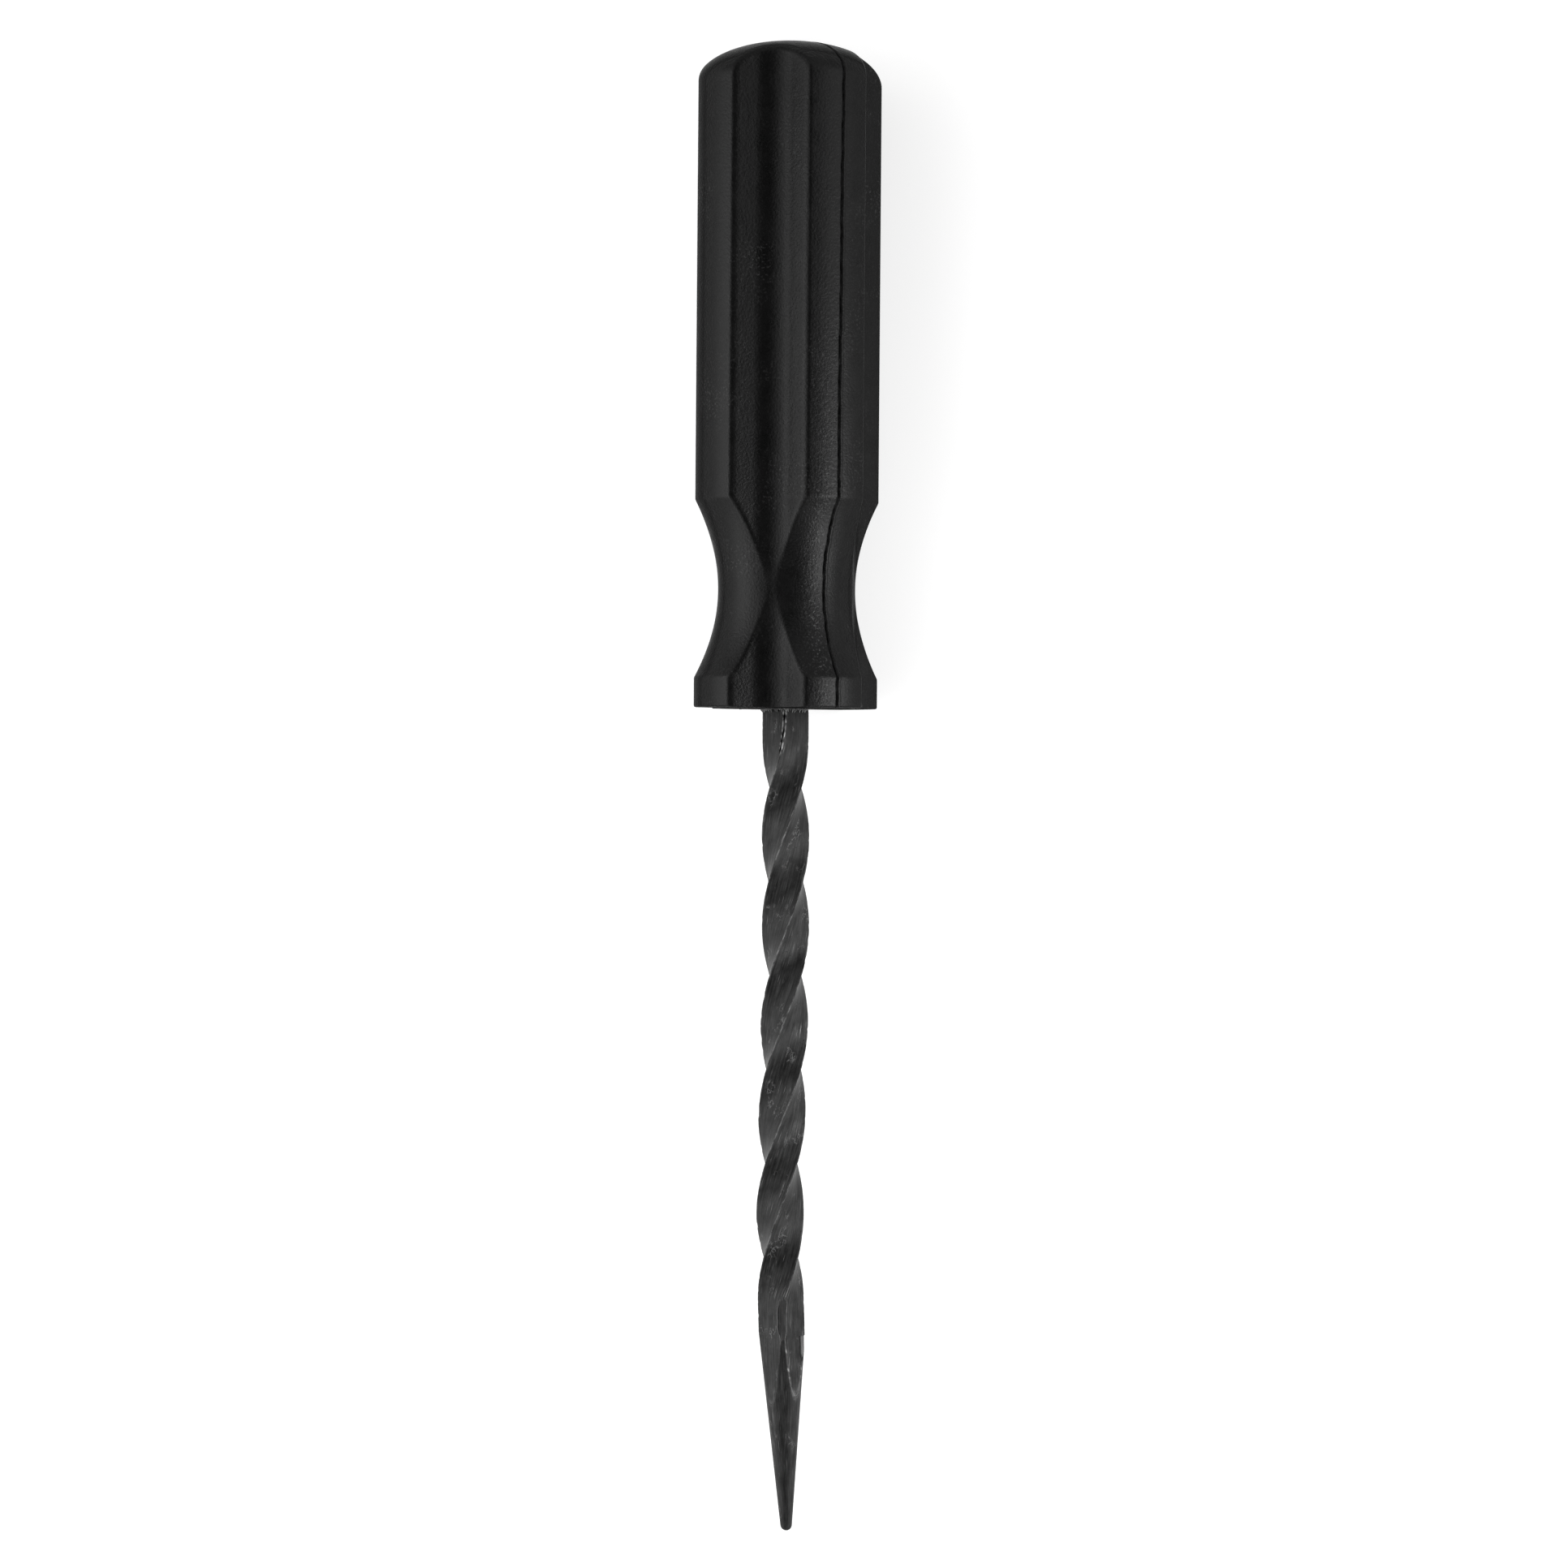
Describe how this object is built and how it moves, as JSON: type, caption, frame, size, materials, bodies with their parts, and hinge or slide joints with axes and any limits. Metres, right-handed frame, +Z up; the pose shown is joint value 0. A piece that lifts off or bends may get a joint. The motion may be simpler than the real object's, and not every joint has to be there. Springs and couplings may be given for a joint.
{
  "type": "tire repair reamer",
  "caption": "Tire repair reamer with a black fluted plastic handle, a waisted neck and a twisted square steel shank ground to a long round point.",
  "frame": {"origin": "on the surface that the tool lies on, under the middle of its box", "axes": "+Y along the tool's axis from the point toward the domed end of the handle, +Z up through the middle of a flute, the tool lying on the two lands beside the opposite flute"},
  "size_m": [0.0206, 0.18, 0.0206],
  "materials": {
    "handle_plastic": "black moulding with a fine satin grain",
    "shank_steel": "dark oxide with drawn streaks and a ground point"
  },
  "bodies": {
    "root": {"handle": "handle_plastic", "shank": "shank_steel"}
  },
  "joints": []
}
